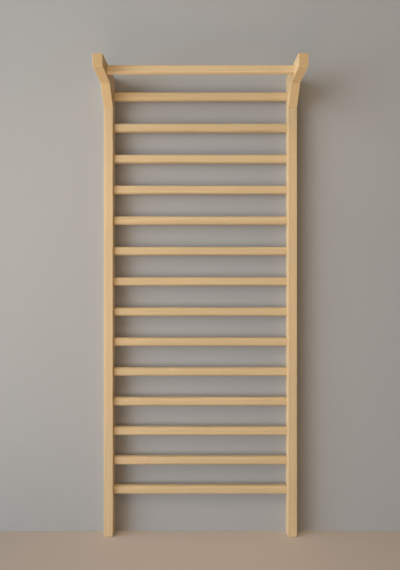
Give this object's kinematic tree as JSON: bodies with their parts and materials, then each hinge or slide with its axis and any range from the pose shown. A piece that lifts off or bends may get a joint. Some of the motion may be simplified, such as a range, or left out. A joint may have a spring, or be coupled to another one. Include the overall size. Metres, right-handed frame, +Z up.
{
  "type": "swedish wall bars",
  "caption": "Wall-fixed wooden climbing frame: square posts with forward-reaching heads carry rounded rungs and a hanging bar set out from the rest",
  "frame": {"origin": "on the floor line, in the wall plane, halfway between the posts", "axes": "+Z up, +Y into the wall, +X to the right as the user faces the frame"},
  "size_m": [0.9, 0.284, 2.164],
  "materials": {
    "post_wood": "clear satin lacquer",
    "head_wood": "clear satin lacquer",
    "bar_wood": "clear satin lacquer",
    "plug_wood": "clear satin lacquer",
    "zinc_steel": "zinc plated",
    "pad_rubber": "matt"
  },
  "bodies": {
    "root": {"rung_01": "bar_wood", "rung_02": "bar_wood", "rung_03": "bar_wood", "rung_04": "bar_wood", "rung_05": "bar_wood", "rung_06": "bar_wood", "rung_07": "bar_wood", "rung_08": "bar_wood", "rung_09": "bar_wood", "rung_10": "bar_wood", "rung_11": "bar_wood", "rung_12": "bar_wood", "rung_13": "bar_wood", "rung_14": "bar_wood", "top_bar": "bar_wood", "left_post": "post_wood", "left_head": "head_wood", "left_foot_pad": "pad_rubber", "left_head_dowel_lower": "plug_wood", "left_head_dowel_upper": "plug_wood", "left_tie_screw_1": "zinc_steel", "left_plug_1": "plug_wood", "left_tie_screw_2": "zinc_steel", "left_plug_2": "plug_wood", "left_tie_screw_3": "zinc_steel", "left_plug_3": "plug_wood", "left_tie_screw_4": "zinc_steel", "left_plug_4": "plug_wood", "left_hanger_lower": "zinc_steel", "left_hanger_lower_screw_1": "zinc_steel", "left_hanger_lower_screw_2": "zinc_steel", "left_hanger_upper": "zinc_steel", "left_hanger_upper_screw_1": "zinc_steel", "left_hanger_upper_screw_2": "zinc_steel", "right_post": "post_wood", "right_head": "head_wood", "right_foot_pad": "pad_rubber", "right_head_dowel_lower": "plug_wood", "right_head_dowel_upper": "plug_wood", "right_tie_screw_1": "zinc_steel", "right_plug_1": "plug_wood", "right_tie_screw_2": "zinc_steel", "right_plug_2": "plug_wood", "right_tie_screw_3": "zinc_steel", "right_plug_3": "plug_wood", "right_tie_screw_4": "zinc_steel", "right_plug_4": "plug_wood", "right_hanger_lower": "zinc_steel", "right_hanger_lower_screw_1": "zinc_steel", "right_hanger_lower_screw_2": "zinc_steel", "right_hanger_upper": "zinc_steel", "right_hanger_upper_screw_1": "zinc_steel", "right_hanger_upper_screw_2": "zinc_steel"}
  },
  "joints": []
}
